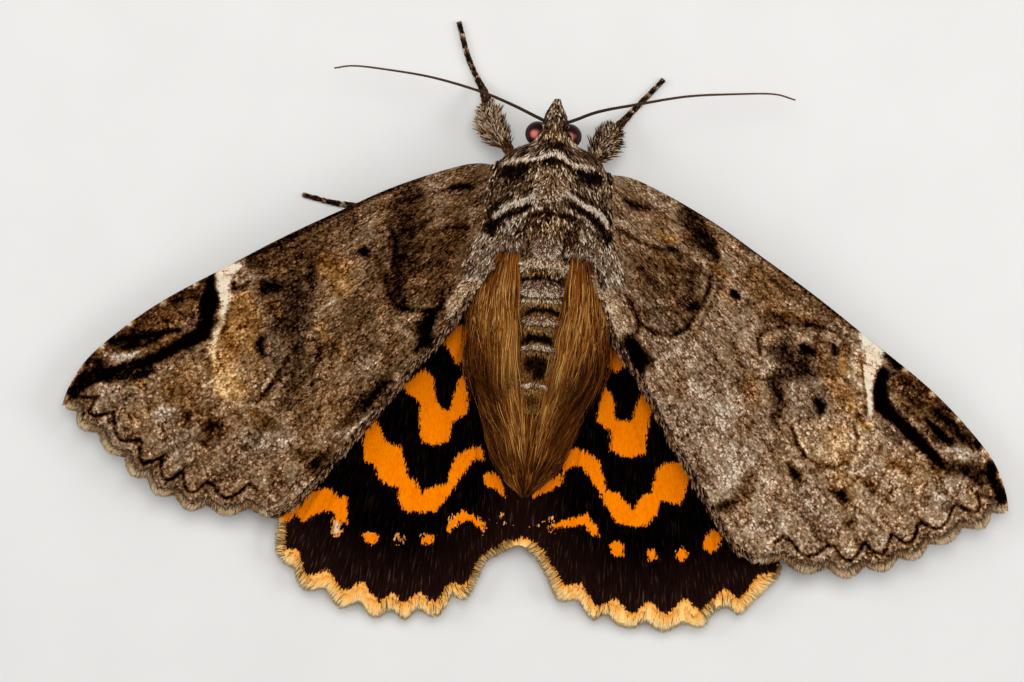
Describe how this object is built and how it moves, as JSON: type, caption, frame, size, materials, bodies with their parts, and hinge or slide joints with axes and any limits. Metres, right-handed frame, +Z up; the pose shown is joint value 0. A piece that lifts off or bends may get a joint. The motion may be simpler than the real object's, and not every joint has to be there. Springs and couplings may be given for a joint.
{
  "type": "locust underwing moth",
  "caption": "Life-size locust underwing moth at rest with spread scalloped forewings over black and orange hindwings, long feelers and furred legs.",
  "frame": {"origin": "middle of the model's footprint, on the surface that the feet stand on", "axes": "+Z up off the surface, head towards -Y, the moth's left side towards +X; the wings reach furthest along X"},
  "size_m": [0.0598, 0.038, 0.0074],
  "materials": {
    "grey_scales": "matte grey-brown scales",
    "golden_hair": "silky golden-brown hair",
    "forewing_scales": "matte mottled grey-brown scales",
    "hindwing_scales": "velvety black scales with orange bands",
    "eye": "glossy near-black",
    "antenna": "satin brown",
    "leg": "matte dark brown and cream bands"
  },
  "bodies": {
    "root": {"head": "grey_scales", "eye_left": "eye", "eye_right": "eye", "antenna_left": "antenna", "antenna_right": "antenna", "palp_left": "grey_scales", "palp_right": "grey_scales", "collar": "grey_scales", "thorax": "grey_scales", "abdomen": "golden_hair", "forewing_left": "forewing_scales", "forewing_right": "forewing_scales", "hindwing_left": "hindwing_scales", "hindwing_right": "hindwing_scales", "leg_fore_left": "leg", "leg_fore_right": "leg", "leg_mid_left": "leg", "leg_mid_right": "leg", "leg_hind_left": "leg", "leg_hind_right": "leg"}
  },
  "joints": []
}
